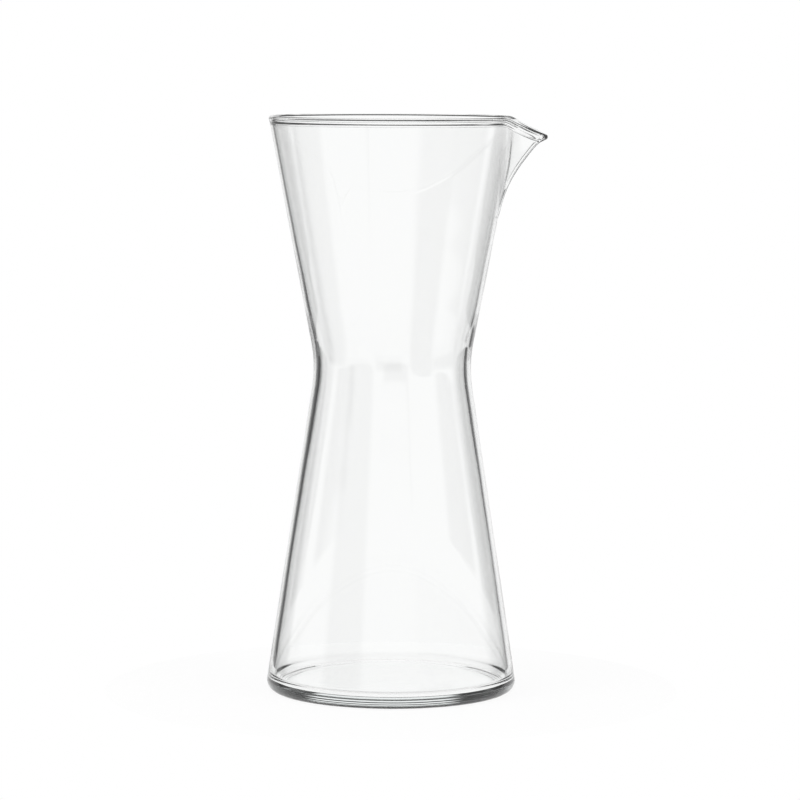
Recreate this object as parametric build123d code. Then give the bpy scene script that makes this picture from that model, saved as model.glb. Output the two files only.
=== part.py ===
# Glass carafe, blown in one piece: a round foot, two cones that meet at a slim waist, and a lip with a spout.
# Millimetres. The axis is Z, the foot rests on z = 0, and the spout points along +X.
from build123d import *
import os
from math import atan2, cos, degrees, hypot, radians, sin, sqrt

os.makedirs("parts", exist_ok=True)

# Driving dimensions, outside
height = 240.0                 # resting plane to the rim
rim_radius = 51.7              # at the rim, away from the spout
waist_height = 136.6           # where the outside lines of the two cones cross
waist_cross_radius = 32.0      # radius of that crossing
waist_blend_radius = 55.0      # the curve that joins the two cones
base_radius = 52.1             # widest place, just above the foot
heel_radius = 4.2              # rounding from the wall to the foot
foot_flat = 2.0                # width of the ring that the carafe stands on
punt_depth = 1.6               # how far the underside rises in the middle

# Driving dimensions, glass
rim_wall = 1.4                 # just below the lip
waist_wall = 2.1
base_wall = 1.6
floor_height = 4.4             # inside floor above the resting plane
floor_corner_radius = 4.0      # inside, from the floor to the wall
lip_thickness = 2.2            # fire-polished edge, fully round
lip_height = 4.0               # over which the wall thickens to the lip

# Driving dimensions, spout
spout_depth = 31.5             # where it leaves the cone, below the rim
spout_reach = 11.9             # how far its wall stands out past the rim, at the tip
spout_curl = 1.8               # how much further the lip curls out there
spout_dip = 7.0                # how far its tip lies below the rim
spout_width = 32.8             # across, where it leaves the rim
spout_start_slope = 0.56       # outward per upward, where it leaves the cone
spout_nose = 8.0               # length over which the nose rounds off
spout_blend = 3.0              # width of the curve from the spout to the cone
dip_blend = 3.0                # width of the curve where the rim starts to dip

# How finely the spout is drawn
near_step = 1.5                # degrees between upright sections, around the spout
far_step = 10.0                # degrees between them elsewhere, at most
rise_steps = 10                # steps up each section
plain_height = 10.0            # plain cone below the spout that is drawn with it
joint_tolerance = 0.001        # how closely its circles match those of the glass below

tip_height = height - spout_dip
tip_radius = rim_radius + spout_reach
spout_foot = height - spout_depth
split_height = spout_foot - plain_height
outer_rim = (rim_radius, height)
outer_waist = (waist_cross_radius, waist_height)
outer_base = (base_radius, heel_radius)
inner_waist = (waist_cross_radius - waist_wall, waist_height)
inner_base = (base_radius - base_wall, heel_radius)


def on_line(z, low, high):
    """Value at height z on the line through two (value, height) points."""
    return low[0] + (high[0] - low[0]) * (z - low[1]) / (high[1] - low[1])


def larger(first, second, width):
    """The larger of two values, with a smooth change over where they cross."""
    overlap = max(1 - abs(first - second) / width, 0)
    return max(first, second) + width * overlap**3 / 6


def eased(share):
    """From 0 to 1 with a level start and end."""
    share = min(max(share, 0), 1)
    return share**2 * (3 - 2 * share)


def ridge(z):
    """Middle line of the spout, outside: it flares faster as it rises."""
    start = on_line(spout_foot, outer_waist, outer_rim)
    rise = tip_height - spout_foot
    flare = (tip_radius - start - spout_start_slope * rise) / rise**2
    up = z - spout_foot
    return start + spout_start_slope * up + flare * up**2


rim_side = spout_width / 2
rim_front = sqrt(rim_radius**2 - rim_side**2)
flank_slope = (ridge(height) - rim_front) / (hypot(rim_side, spout_nose) - spout_nose)


def spout_radius(angle, z):
    """Outside of the spout alone, which is a hyperbola in plan."""
    across = cos(angle)
    if across <= 0:
        return 0.0
    aside = flank_slope * sin(angle)
    blunt = flank_slope * spout_nose
    apex = ridge(z) + blunt
    spread = sqrt((apex * aside) ** 2 + blunt**2 * (across**2 - aside**2))
    return (apex**2 - blunt**2) / (apex * across + spread)


def outer_radius(angle, z, lip):
    """Outside of the upper wall, whose lip starts at height lip and curls out along the spout."""
    cone = on_line(z, outer_waist, outer_rim)
    plain = larger(cone, spout_radius(angle, z), spout_blend)
    near_lip = max(1 + (z - lip) / lip_height, 0)
    return plain + spout_curl * near_lip**3 * eased((plain - cone) / spout_reach)


def wall_thickness(z, lip):
    """Thickness of the upper wall, which grows towards the lip."""
    cone_wall = on_line(z, (waist_wall, waist_height), (rim_wall, height))
    return cone_wall + (lip_thickness - cone_wall) * eased(1 + (z - lip) / lip_height)


def wall_pair(angle, z, lip):
    """Outer and inner points of the wall, level at the split and square to the wall above it, and the end
    that a round lip would have there, each as (radius, height)."""
    nudge = 0.01
    radius = outer_radius(angle, z, lip)
    turn = nudge / radius
    lean = (outer_radius(angle, z + nudge, lip) - outer_radius(angle, z - nudge, lip)) / (2 * nudge)
    swing = (outer_radius(angle + turn, z, lip) - outer_radius(angle - turn, z, lip)) / (2 * nudge)
    steep = hypot(1, lean)
    depth = wall_thickness(z, lip) * hypot(steep, swing) / steep
    if z == split_height:
        return (radius, z), (radius - depth * steep, z), None
    inner = (radius - depth / steep, z + depth * lean / steep)
    end = (radius - depth * (1 - lean) / steep / 2, z + depth * (1 + lean) / steep / 2)
    return (radius, z), inner, end


def rim_height(angle):
    """Top of the lip: level all round, and falling in a straight line to the tip of the spout."""
    fall = spout_dip / (tip_radius - rim_front)
    top = height
    for _ in range(12):
        out = outer_radius(angle, top, height + lip_height) * cos(angle) - rim_front
        top = height - fall * larger(0, out, dip_blend)
    return top


def section(angle):
    """Closed outline of the upper wall in the upright plane at one angle."""
    top = rim_height(angle)
    lip = top
    for _ in range(6):
        outer, inner, _ = wall_pair(angle, lip, lip)
        half = hypot(outer[0] - inner[0], outer[1] - inner[1]) / 2
        lip += top - (outer[1] + inner[1]) / 2 - half
    steps = [i / rise_steps for i in range(rise_steps + 1)]
    heights = [split_height + (lip - split_height) * (1 - (1 - step) ** 1.5) for step in steps]
    pairs = [wall_pair(angle, z, lip) for z in heights]

    def placed(point):
        return Vector(point[0] * cos(angle), point[0] * sin(angle), point[1])

    outside = [placed(pair[0]) for pair in pairs]
    inside = [placed(pair[1]) for pair in reversed(pairs)]
    return Wire([
        Edge.make_spline(outside, parameters=steps),
        Edge.make_three_point_arc(outside[-1], placed(pairs[-1][2]), inside[0]),
        Edge.make_spline(inside, parameters=steps),
        Edge.make_line(inside[-1], outside[0]),
    ])


def upper_glass():
    """Upper cone, spout and lip: upright sections all round, closer together around the spout."""
    reach = degrees(atan2(rim_side, rim_front)) + 15
    near_count = round(reach / near_step)
    near_reach = near_step * near_count
    far_count = round((180 - near_reach) / far_step + 0.5)
    half = [near_step * i for i in range(near_count)]
    half += [near_reach + (180 - near_reach) * i / far_count for i in range(far_count)]
    turns = [180] + [-turn for turn in reversed(half[1:])] + half
    sections = [section(radians(turn)) for turn in turns]
    return Solid.make_loft(sections + sections[:1])


def lower_glass():
    """Foot, floor, lower cone, waist and the start of the upper cone, turned about the axis."""
    foot_outer = base_radius - heel_radius
    foot_inner = foot_outer - foot_flat
    floor_radius = on_line(floor_height, inner_waist, inner_base)
    outer_top, inner_top, _ = wall_pair(radians(180), split_height, height)
    with BuildPart() as glass:
        with BuildSketch(Plane((0, 0, 0), x_dir=(-1, 0, 0), z_dir=(0, 1, 0))):
            with BuildLine():
                FilletPolyline(outer_base, outer_waist, outer_top, radius=waist_blend_radius)
                Line(outer_top, inner_top)
                FilletPolyline(
                    inner_top, inner_waist, (floor_radius, floor_height), (0, floor_height),
                    radius=[waist_blend_radius + waist_wall, floor_corner_radius],
                )
                Line((0, floor_height), (0, punt_depth))
                SagittaArc((0, punt_depth), (foot_inner, 0), punt_depth / 4)
                Line((foot_inner, 0), (foot_outer, 0))
                CenterArc((foot_outer, heel_radius), heel_radius, -90, 90)
            make_face()
        revolve(axis=Axis.Z)
    return glass.part


carafe_body = lower_glass().fuse(upper_glass(), tol=joint_tolerance)
print("carafe_body", round(carafe_body.volume), "cubic millimetres of glass")
export_step(carafe_body, "parts/carafe_body.step")
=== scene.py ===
from math import atan, atan2, cos, hypot, pi, radians, sin, sqrt, tan

import bmesh
import bpy
from mathutils import Matrix, Vector


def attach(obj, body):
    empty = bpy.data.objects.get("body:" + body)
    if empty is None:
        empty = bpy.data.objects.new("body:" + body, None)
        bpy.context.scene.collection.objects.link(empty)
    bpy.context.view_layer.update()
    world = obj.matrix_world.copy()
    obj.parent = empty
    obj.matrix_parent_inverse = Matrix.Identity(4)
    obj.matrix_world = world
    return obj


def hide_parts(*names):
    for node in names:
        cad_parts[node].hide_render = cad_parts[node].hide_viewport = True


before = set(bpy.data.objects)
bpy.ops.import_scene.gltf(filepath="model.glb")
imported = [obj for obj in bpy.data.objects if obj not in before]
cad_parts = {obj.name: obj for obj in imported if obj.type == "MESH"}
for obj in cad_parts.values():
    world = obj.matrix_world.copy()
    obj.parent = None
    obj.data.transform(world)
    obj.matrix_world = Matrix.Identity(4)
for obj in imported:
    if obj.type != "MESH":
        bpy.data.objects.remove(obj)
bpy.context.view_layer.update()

mm = 0.001


# Clear glass

glassFinish = {
    "tint": (0.995, 0.998, 0.996, 1.0),
    "ior": 1.5,
    "absorbColour": (0.82, 0.86, 0.86, 1.0),
    "absorbDensity": 8.0,         # per metre
    "polish": (0.0, 0.012),       # roughness, least and most
    "streakStretch": 0.12,        # along the axis, so that the waves run upright
    "streakScale": 55.0,
    "streakDetail": 1.0,
    "rippleScale": 160.0,
    "rippleDetail": 2.0,
    "rippleRange": (0.35, 0.75),  # of the ripples, over which the roughness grows
    "waveHeight": 0.00001,        # metres
    "rippleHeight": 0.000001,
}


def clearGlass():
    print("material: clear glass")
    finish = glassFinish
    material = bpy.data.materials.new("clearGlass")
    material.use_nodes = True
    nodes = material.node_tree.nodes
    link = material.node_tree.links.new
    shader = nodes["Principled BSDF"]
    shader.inputs["Base Color"].default_value = finish["tint"]
    shader.inputs["IOR"].default_value = finish["ior"]
    shader.inputs["Transmission Weight"].default_value = 1.0

    place = nodes.new("ShaderNodeTexCoord")
    stretch = nodes.new("ShaderNodeMapping")
    stretch.inputs["Scale"].default_value = (1.0, 1.0, finish["streakStretch"])
    link(place.outputs["Object"], stretch.inputs["Vector"])

    streaks = nodes.new("ShaderNodeTexNoise")  # long soft waves left by the blowing
    streaks.inputs["Scale"].default_value = finish["streakScale"]
    streaks.inputs["Detail"].default_value = finish["streakDetail"]
    link(stretch.outputs["Vector"], streaks.inputs["Vector"])

    ripples = nodes.new("ShaderNodeTexNoise")  # faint skin, fire-polished away
    ripples.inputs["Scale"].default_value = finish["rippleScale"]
    ripples.inputs["Detail"].default_value = finish["rippleDetail"]
    link(place.outputs["Object"], ripples.inputs["Vector"])

    polish = nodes.new("ShaderNodeMapRange")
    polish.inputs["From Min"].default_value, polish.inputs["From Max"].default_value = finish["rippleRange"]
    polish.inputs["To Min"].default_value, polish.inputs["To Max"].default_value = finish["polish"]
    link(ripples.outputs["Fac"], polish.inputs["Value"])
    link(polish.outputs["Result"], shader.inputs["Roughness"])

    wave = nodes.new("ShaderNodeBump")
    wave.inputs["Strength"].default_value = 1.0  # fully as high as the distance below says
    wave.inputs["Distance"].default_value = finish["waveHeight"]
    link(streaks.outputs["Fac"], wave.inputs["Height"])
    ripple = nodes.new("ShaderNodeBump")
    ripple.inputs["Strength"].default_value = 1.0
    ripple.inputs["Distance"].default_value = finish["rippleHeight"]
    link(ripples.outputs["Fac"], ripple.inputs["Height"])
    link(wave.outputs["Normal"], ripple.inputs["Normal"])
    link(ripple.outputs["Normal"], shader.inputs["Normal"])

    absorb = nodes.new("ShaderNodeVolumeAbsorption")
    absorb.inputs["Color"].default_value = finish["absorbColour"]
    absorb.inputs["Density"].default_value = finish["absorbDensity"]
    link(absorb.outputs["Volume"], nodes["Material Output"].inputs["Volume"])
    return material


# Carafe, in millimetres: half an upright section is drawn, spun about the axis, and drawn out at the spout

carafe = {
    "height": 240.0,
    "rimRadius": 51.7,
    "waistHeight": 136.6,         # where the lines of the two cones cross
    "waistCrossRadius": 32.0,
    "waistBlend": 55.0,           # radius of the curve between the cones
    "baseRadius": 52.1,
    "heelRadius": 4.2,
    "footFlat": 1.4,
    "puntDepth": 0.5,             # how far the underside lies above the foot
    "puntRise": 1.5,              # width over which the underside rises from the foot
    "floorHeight": 4.4,
    "floorCorner": 3.2,
    "lipThickness": 2.3,
    "lipEven": 0.8,               # below its rounding, where the lip keeps its thickness
    "lipHeight": 1.2,             # below that, over which the wall thickens to it
    "lipBulge": 0.12,             # how far the lip stands out past the wall
    # heights, and the thickness of the wall there, from the lines of its inner face
    "walls": [(8, 2.5), (24, 2.35), (54, 2.2), (86, 2.4), (112, 2.75), (134, 2.8),
              (162, 1.95), (188, 1.6), (206, 1.45), (230, 1.45)],
    "turns": 300,                 # steps of the spin
    "gather": 0.5,                # how much closer they lie around the spout
    "wallCuts": 125,
    "crowding": 1.6,              # how much closer they lie towards the lip
    "flatCuts": 8,                # from the floor's edge to its middle
    "heelSteps": 14,
    "lipSteps": 12,
    "mergeGap": 0.001,            # points closer than this become one
}

spout = {
    "depth": 31.5,                # where it leaves the cone, below the rim
    "reach": 11.9,
    "curl": 1.8,
    "curlHeight": 4.0,
    "dip": 7.0,
    "width": 32.8,
    "startSlope": 0.56,           # outward per upward
    "nose": 8.0,                  # length over which the nose rounds off
    "blend": 7.0,                 # width of the curve from the spout to the cone
    "dipBlend": 3.0,
    "plain": 10.0,                # plain cone kept below it
    "rimRounds": 12,              # how often the height of the rim is worked out again
    "lipRounds": 5,               # the same for the start of the lip
}


def onLine(z, low, high):
    return low[0] + (high[0] - low[0]) * (z - low[1]) / (high[1] - low[1])


def larger(first, second, width):  # the larger of two, with a smooth change over
    overlap = max(1 - abs(first - second) / width, 0)
    return max(first, second) + width * overlap**3 / 6


def eased(share):
    share = min(max(share, 0), 1)
    return share**2 * (3 - 2 * share)


rimPoint = (carafe["rimRadius"], carafe["height"])
waistPoint = (carafe["waistCrossRadius"], carafe["waistHeight"])
basePoint = (carafe["baseRadius"], carafe["heelRadius"])
lowerLean = atan((basePoint[0] - waistPoint[0]) / (waistPoint[1] - basePoint[1]))
upperLean = atan((rimPoint[0] - waistPoint[0]) / (rimPoint[1] - waistPoint[1]))
tipHeight = carafe["height"] - spout["dip"]
tipRadius = carafe["rimRadius"] + spout["reach"]
spoutFoot = carafe["height"] - spout["depth"]
splitHeight = spoutFoot - spout["plain"]
lipHalf = carafe["lipThickness"] / 2
lipFoot = carafe["height"] - lipHalf * (1 + sin(upperLean))
nudge = 0.01  # how far to each side a slope is measured


def wallLine(z):  # radius of the outer face and the angle at which it leans out
    cut = carafe["waistBlend"] * tan((lowerLean + upperLean) / 2)
    low = waistPoint[1] - cut * cos(lowerLean)
    high = waistPoint[1] + cut * cos(upperLean)
    if z <= low:
        return waistPoint[0] + (waistPoint[1] - z) * tan(lowerLean), -lowerLean
    if z >= high:
        return waistPoint[0] + (z - waistPoint[1]) * tan(upperLean), upperLean
    middle = low + carafe["waistBlend"] * sin(lowerLean)
    centre = waistPoint[0] + cut * sin(lowerLean) + carafe["waistBlend"] * cos(lowerLean)
    across = sqrt(carafe["waistBlend"]**2 - (z - middle)**2)
    return centre - across, atan((z - middle) / across)


def wallThickness(z):  # eased from one measured height to the next, and thicker at the lip
    walls = carafe["walls"]
    low = min(max(z, walls[0][0]), walls[-1][0])
    for (start, thin), (end, thick) in zip(walls, walls[1:]):
        if low <= end:
            plain = thin + (thick - thin) * eased((low - start) / (end - start))
            break
    return plain + (carafe["lipThickness"] - plain - carafe["lipBulge"]) * nearLip(z)


def nearLip(z):
    return eased(1 + (z - lipFoot + carafe["lipEven"]) / carafe["lipHeight"])


def ridge(z):  # middle line of the spout, outside
    start = onLine(spoutFoot, waistPoint, rimPoint)
    rise = tipHeight - spoutFoot
    flare = (tipRadius - start - spout["startSlope"] * rise) / rise**2
    up = z - spoutFoot
    return start + spout["startSlope"] * up + flare * up**2


rimSide = spout["width"] / 2
rimFront = sqrt(carafe["rimRadius"]**2 - rimSide**2)
flankSlope = (ridge(carafe["height"]) - rimFront) / (hypot(rimSide, spout["nose"]) - spout["nose"])


def spoutRadius(angle, z):  # outside of the spout alone, a hyperbola in plan
    across = cos(angle)
    if across <= 0:
        return 0.0
    aside = flankSlope * sin(angle)
    blunt = flankSlope * spout["nose"]
    apex = ridge(z) + blunt
    spread = sqrt((apex * aside) ** 2 + blunt**2 * (across**2 - aside**2))
    return (apex**2 - blunt**2) / (apex * across + spread)


def outerRadius(angle, z, lip):
    cone = onLine(z, waistPoint, rimPoint)
    plain = larger(cone, spoutRadius(angle, z), spout["blend"])
    curled = max(1 + (z - lip) / spout["curlHeight"], 0)
    return plain + spout["curl"] * curled**3 * eased((plain - cone) / spout["reach"])


def rimHeight(angle):  # level all round, and falling in a straight line to the tip
    fall = spout["dip"] / (tipRadius - rimFront)
    top = carafe["height"]
    for _ in range(spout["rimRounds"]):
        out = outerRadius(angle, top, carafe["height"] + spout["curlHeight"]) * cos(angle) - rimFront
        top = carafe["height"] - fall * larger(0, out, spout["dipBlend"])
    return top


def lipStart(angle):  # height of the outer face where the lip starts to round off
    top = rimHeight(angle)
    lip = top - lipHalf
    for _ in range(spout["lipRounds"]):
        lean = (outerRadius(angle, lip + nudge, lip) - outerRadius(angle, lip - nudge, lip)) / (2 * nudge)
        lip = top - lipHalf * (1 + sin(atan(lean)))
    return lip


def onWall(angle, z, lip):  # a point of the outer face
    radius = outerRadius(angle, z, lip)
    return Vector((radius * cos(angle), radius * sin(angle), z))


def drawOut(place, lips):  # where the spout has a point of the plain cone
    angle = atan2(place.y, place.x)
    radius = hypot(place.x, place.y)
    depth = (onLine(place.z, waistPoint, rimPoint) - radius) * cos(upperLean)
    height = place.z - depth * sin(upperLean)
    if height <= splitHeight:
        return place
    key = round(angle, 5)  # one for each upright section
    if key not in lips:
        lips[key] = lipStart(angle)
    lip = lips[key]
    bead = max(height - lipFoot, 0) / cos(upperLean)  # how far up the rounding of the lip
    height = min(height, lipFoot)
    height = splitHeight + (lip - splitHeight) * (height - splitHeight) / (lipFoot - splitHeight)
    turn = nudge / radius
    upward = onWall(angle, height + nudge, lip) - onWall(angle, height - nudge, lip)
    sideways = onWall(angle + turn, height, lip) - onWall(angle - turn, height, lip)
    across = upward.cross(sideways).normalized()
    return onWall(angle, height, lip) + across * depth + upward.normalized() * bead


def spun(mesh, start, centre, angle, step, steps):  # the new vertices of a line or an arc, in order
    count = len(mesh.verts)
    bmesh.ops.spin(mesh, geom=[start], cent=(centre[0], 0.0, centre[1]), axis=(0, -1, 0),
                   dvec=(step[0], 0.0, step[1]), angle=angle, steps=steps, use_merge=False,
                   use_normal_flip=False, use_duplicate=False)
    mesh.verts.ensure_lookup_table()
    return mesh.verts[count:]


def lineTo(mesh, start, end, steps):
    step = ((end[0] - start.co.x) / steps, (end[1] - start.co.z) / steps)
    return spun(mesh, start, (0.0, 0.0), 0.0, step, steps)


def arcAbout(mesh, start, centre, angle, steps):
    return spun(mesh, start, centre, angle, (0.0, 0.0), steps)


def halfSection(mesh):  # foot, heel, outer wall, lip, inner wall and floor
    heelCentre = (carafe["baseRadius"] - carafe["heelRadius"] / cos(lowerLean), carafe["heelRadius"])
    footInner = heelCentre[0] - carafe["footFlat"]

    first = mesh.verts.new((0.0, 0.0, carafe["puntDepth"]))
    underside = lineTo(mesh, first, (footInner, 0.0), carafe["flatCuts"] * 2)
    for vertex in underside:
        vertex.co.z = carafe["puntDepth"] * eased((footInner - vertex.co.x) / carafe["puntRise"])
    foot = lineTo(mesh, underside[-1], (heelCentre[0], 0.0), 1)[-1]
    heel = arcAbout(mesh, foot, heelCentre, pi / 2 + lowerLean, carafe["heelSteps"])[-1]

    low = heel.co.z
    outer = lineTo(mesh, heel, (rimPoint[0], lipFoot), carafe["wallCuts"])
    for vertex in outer:
        share = (vertex.co.z - low) / (lipFoot - low)
        z = low + (lipFoot - low) * (1 - max(1 - share, 0)**carafe["crowding"])
        radius, lean = wallLine(z)
        bulge = carafe["lipBulge"] * nearLip(z)
        vertex.co = (radius + bulge * cos(lean), 0.0, z - bulge * sin(lean))

    radius, lean = wallLine(lipFoot)
    thickness = wallThickness(lipFoot)
    middle = (thickness - carafe["lipBulge"]) / 2
    lipCentre = (radius - middle * cos(lean), lipFoot + middle * sin(lean))
    lip = arcAbout(mesh, outer[-1], lipCentre, pi, carafe["lipSteps"])[-1]

    corner = carafe["floorCorner"]
    low = carafe["floorHeight"] + corner * (1 + sin(lowerLean)) + wallThickness(0) * sin(lowerLean)
    inner = lineTo(mesh, lip, (basePoint[0], low), carafe["wallCuts"])
    top = lip.co.z
    for vertex in inner:
        share = (vertex.co.z - low) / (top - low)
        z = low + (lipFoot - low) * (1 - max(1 - share, 0)**carafe["crowding"])
        radius, lean = wallLine(z)
        thickness = wallThickness(z)
        vertex.co = (radius - thickness * cos(lean), 0.0, z + thickness * sin(lean))
    end = inner[-1]
    cornerCentre = (end.co.x - corner * cos(lowerLean), end.co.z - corner * sin(lowerLean))
    floor = arcAbout(mesh, end, cornerCentre, -(pi / 2 + lowerLean), carafe["heelSteps"])[-1]
    lineTo(mesh, floor, (0.0, floor.co.z), carafe["flatCuts"])


def carafeBody(material):
    print("carafe: half section")
    mesh = bmesh.new()
    halfSection(mesh)

    print("carafe: spun about its axis")
    bmesh.ops.spin(mesh, geom=mesh.verts[:] + mesh.edges[:], cent=(0, 0, 0), axis=(0, 0, 1), dvec=(0, 0, 0),
                   angle=2 * pi, steps=carafe["turns"], use_merge=True, use_normal_flip=False,
                   use_duplicate=False)
    bmesh.ops.remove_doubles(mesh, verts=mesh.verts[:], dist=carafe["mergeGap"])
    bmesh.ops.recalc_face_normals(mesh, faces=mesh.faces[:])

    print("carafe: spout drawn out")
    lips = {}
    for vertex in mesh.verts:
        angle = atan2(vertex.co.y, vertex.co.x)
        closer = Matrix.Rotation(-carafe["gather"] * sin(angle), 3, "Z")
        vertex.co = drawOut(closer @ vertex.co, lips)
    bmesh.ops.scale(mesh, vec=(mm, mm, mm), verts=mesh.verts[:])

    data = bpy.data.meshes.new("carafeBody")
    mesh.to_mesh(data)
    mesh.free()
    data.materials.append(material)
    data.shade_smooth()
    piece = bpy.data.objects.new("carafeBody", data)
    bpy.context.collection.objects.link(piece)
    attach(piece, "root")
    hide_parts("carafe_body")
    print("carafe:", len(data.vertices), "vertices,", sum(len(face.vertices) - 2 for face in data.polygons),
          "triangles")
    return piece


# Studio: white ground and surroundings, with the dark flags that draw the edges of clear glass

studio = {
    "floorRadius": 0.12,          # metres
    "floorSides": 96,
    "floorColour": (0.86, 0.86, 0.86, 1.0),
    "floorShade": 0.08,           # how much of its own shading the white floor keeps
    "worldColour": 0.85,          # light on matt surfaces
    "reflected": (0.5, 0.95),     # what polished surfaces mirror of the flags and of the panels
    "panels": 4,                  # white panels all round, with dark flags between them
    "level": 92.0,                # degrees from +X to the middle of a white panel near the horizon
    "steep": 135.0,               # the same, lower down
    "panelEdge": (30.0, 21.0),    # degrees either side of the middle, where a panel starts and is full white
    "turnover": (-9.5, -8.5),     # degrees up, where the lower panels give way to the level ones
    "darkSide": 138.0,            # middle of the side that has the level flags
    "darkEdge": (-0.45, -0.22),   # cosines across its edge
    "droop": (2.0, 6.0),          # how much lower the turnover lies there, and between two level panels
    "panelTop": (16.5, 20.0),     # above this it is dark on that side
    "skylight": (31.0, 35.0),     # and white again
    "panelFoot": (-34.0, -30.0),  # white below this
    "lift": 10.0,                 # how much higher that starts on the other side
    "flagDark": 0.02,
    "panelWhite": 0.975,
    "keyLamp": ((-1.2, -1.0, 1.6), 12.0),  # place in metres, and watts
    "fillLamp": ((1.4, -0.8, 1.3), 7.2),
    "lampSize": 1.0,
    "lampAim": (0.0, 0.0, 0.12),  # the point that both lamps face
}


def mathNode(tree, operation, first, second=None):
    node = tree.nodes.new("ShaderNodeMath")
    node.operation = operation
    for socket, value in zip(node.inputs, (first, second)):
        if value is None:
            continue
        if isinstance(value, (int, float)):
            socket.default_value = value
        else:
            tree.links.new(value, socket)
    return node.outputs[0]


def softStep(tree, value, low, high):  # from 0 to 1
    node = tree.nodes.new("ShaderNodeMapRange")
    node.interpolation_type = "SMOOTHSTEP"
    node.inputs["From Min"].default_value = low
    node.inputs["From Max"].default_value = high
    tree.links.new(value, node.inputs["Value"])
    return node.outputs["Result"]


def blendNode(tree, share, first, second):
    node = tree.nodes.new("ShaderNodeMix")
    node.data_type = "FLOAT"
    for socket, value in zip((node.inputs[0], node.inputs[2], node.inputs[3]), (share, first, second)):
        if isinstance(value, (int, float)):
            socket.default_value = value
        else:
            tree.links.new(value, socket)
    return node.outputs[0]


def swing(tree, turn, middle, times):  # cosine of a number of times the angle from the middle
    away = mathNode(tree, "SUBTRACT", turn, radians(middle))
    return mathNode(tree, "COSINE", mathNode(tree, "MULTIPLY", away, times))


def whitePanels(tree, turn, middle):
    start, full = [cos(studio["panels"] * radians(edge)) for edge in studio["panelEdge"]]
    return softStep(tree, swing(tree, turn, middle, studio["panels"]), start, full)


def surroundings():
    print("studio: surroundings")
    world = bpy.data.worlds.new("studio")
    bpy.context.scene.world = world
    world.use_nodes = True
    tree = world.node_tree
    direction = tree.nodes.new("ShaderNodeTexCoord")
    parts = tree.nodes.new("ShaderNodeSeparateXYZ")
    tree.links.new(direction.outputs["Generated"], parts.inputs["Vector"])
    turn = mathNode(tree, "ARCTAN2", parts.outputs["Y"], parts.outputs["X"])

    def upStep(name, up):
        low, high = studio[name]
        return softStep(tree, up, sin(radians(low)), sin(radians(high)))

    up = parts.outputs["Z"]
    darkSide = softStep(tree, swing(tree, turn, studio["darkSide"], 1), *studio["darkEdge"])
    otherSide = mathNode(tree, "SUBTRACT", 1.0, darkSide)
    droop, droopMore = [sin(radians(angle)) for angle in studio["droop"]]
    # 0 at the middle of a level panel, 2 halfway between two
    edges = mathNode(tree, "SUBTRACT", 1.0, swing(tree, turn, studio["level"], studio["panels"]))
    edges = mathNode(tree, "ADD", mathNode(tree, "MULTIPLY", edges, droopMore / 2), droop)
    turnover = upStep("turnover", mathNode(tree, "ADD", up, mathNode(tree, "MULTIPLY", edges, darkSide)))

    cornice = mathNode(tree, "SUBTRACT", upStep("panelTop", up), upStep("skylight", up))
    level = mathNode(tree, "SUBTRACT", whitePanels(tree, turn, studio["level"]), cornice)
    level = mathNode(tree, "MAXIMUM", mathNode(tree, "MAXIMUM", level, upStep("skylight", up)), otherSide)
    panels = blendNode(tree, turnover, whitePanels(tree, turn, studio["steep"]), level)
    lift = mathNode(tree, "MULTIPLY", otherSide, sin(radians(studio["lift"])))
    foot = mathNode(tree, "SUBTRACT", 1.0, upStep("panelFoot", mathNode(tree, "SUBTRACT", up, lift)))
    panels = mathNode(tree, "MAXIMUM", panels, foot)
    seen = blendNode(tree, panels, studio["flagDark"], studio["panelWhite"])

    rays = tree.nodes.new("ShaderNodeLightPath")
    mirrored = blendNode(tree, panels, *studio["reflected"])
    # refracted rays count as glossy too, so transmission comes after glossy
    light = blendNode(tree, rays.outputs["Is Glossy Ray"], studio["worldColour"], mirrored)
    light = blendNode(tree, rays.outputs["Is Transmission Ray"], light, seen)
    light = blendNode(tree, rays.outputs["Is Camera Ray"], light, 1.0)
    tree.links.new(light, tree.nodes["Background"].inputs["Color"])


def backgroundRays(tree):  # 1 for the rays that see the ground behind the carafe, straight or through glass
    rays = tree.nodes.new("ShaderNodeLightPath")
    seen = mathNode(tree, "MAXIMUM", rays.outputs["Is Camera Ray"], rays.outputs["Is Glossy Ray"])
    return mathNode(tree, "MAXIMUM", seen, rays.outputs["Is Transmission Ray"])


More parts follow.
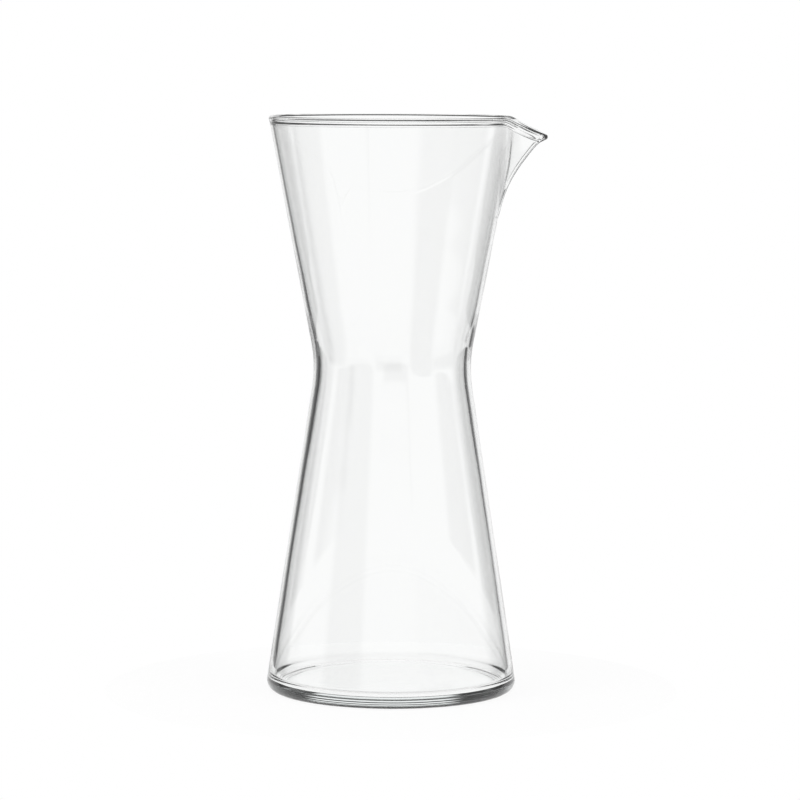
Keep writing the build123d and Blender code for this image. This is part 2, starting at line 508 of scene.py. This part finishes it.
def whiteFloor():
    print("studio: floor")
    material = bpy.data.materials.new("paleFloor")
    material.use_nodes = True
    tree = material.node_tree
    shader = tree.nodes["Principled BSDF"]
    shader.inputs["Base Color"].default_value = studio["floorColour"]
    shader.inputs["Roughness"].default_value = 1.0
    shader.inputs["Specular IOR Level"].default_value = 0.0
    white = tree.nodes.new("ShaderNodeEmission")
    mix = tree.nodes.new("ShaderNodeMixShader")
    plainWhite = mathNode(tree, "MULTIPLY", backgroundRays(tree), 1 - studio["floorShade"])
    tree.links.new(plainWhite, mix.inputs[0])
    tree.links.new(shader.outputs[0], mix.inputs[1])
    tree.links.new(white.outputs[0], mix.inputs[2])
    tree.links.new(mix.outputs[0], tree.nodes["Material Output"].inputs["Surface"])

    mesh = bmesh.new()
    bmesh.ops.create_circle(mesh, cap_ends=True, segments=studio["floorSides"], radius=studio["floorRadius"])
    data = bpy.data.meshes.new("floor")
    mesh.to_mesh(data)
    mesh.free()
    data.materials.append(material)
    floor = bpy.data.objects.new("floor", data)
    bpy.context.collection.objects.link(floor)


def softLamp(name):
    print("studio:", name)
    place, power = studio[name]
    data = bpy.data.lights.new(name, "AREA")
    data.size = studio["lampSize"]
    data.energy = power
    lamp = bpy.data.objects.new(name, data)
    bpy.context.collection.objects.link(lamp)
    lamp.location = place
    lamp.visible_glossy = False
    lamp.visible_transmission = False
    lamp.rotation_euler = (Vector(studio["lampAim"]) - Vector(place)).to_track_quat("-Z", "Y").to_euler()


# Camera, from the ellipses of the rim and the foot in the photograph

view = {
    "turn": 5.7,                  # degrees round the carafe
    "tilt": 5.58,                 # degrees down
    "roll": 0.25,
    "distance": 1.570,            # metres from the axis
    "height": 0.2752,
    "aside": 0.0033,              # how far to the right of the axis it looks
    "lens": 170.2,                # millimetres
    "sensorWidth": 36.0,
    "clip": (0.05, 200.0),        # metres
}


def camera():
    print("camera")
    data = bpy.data.cameras.new("camera")
    data.lens = view["lens"]
    data.sensor_width = view["sensorWidth"]
    data.clip_start, data.clip_end = view["clip"]
    eye = bpy.data.objects.new("camera", data)
    bpy.context.collection.objects.link(eye)
    turn = radians(view["turn"])
    back = Vector((sin(turn), -cos(turn), 0.0))
    right = Vector((cos(turn), sin(turn), 0.0))
    eye.location = back * view["distance"] + Vector((0.0, 0.0, view["height"]))
    drop = view["distance"] * tan(radians(view["tilt"]))
    aim = right * view["aside"] + Vector((0.0, 0.0, view["height"] - drop))
    look = (aim - eye.location).to_track_quat("-Z", "Y")
    eye.rotation_euler = (look.to_matrix() @ Matrix.Rotation(radians(view["roll"]), 3, "Z")).to_euler()
    bpy.context.scene.camera = eye


carafeBody(clearGlass())
surroundings()
whiteFloor()
softLamp("keyLamp")
softLamp("fillLamp")
camera()

bpy.context.scene.view_settings.view_transform = "Standard"
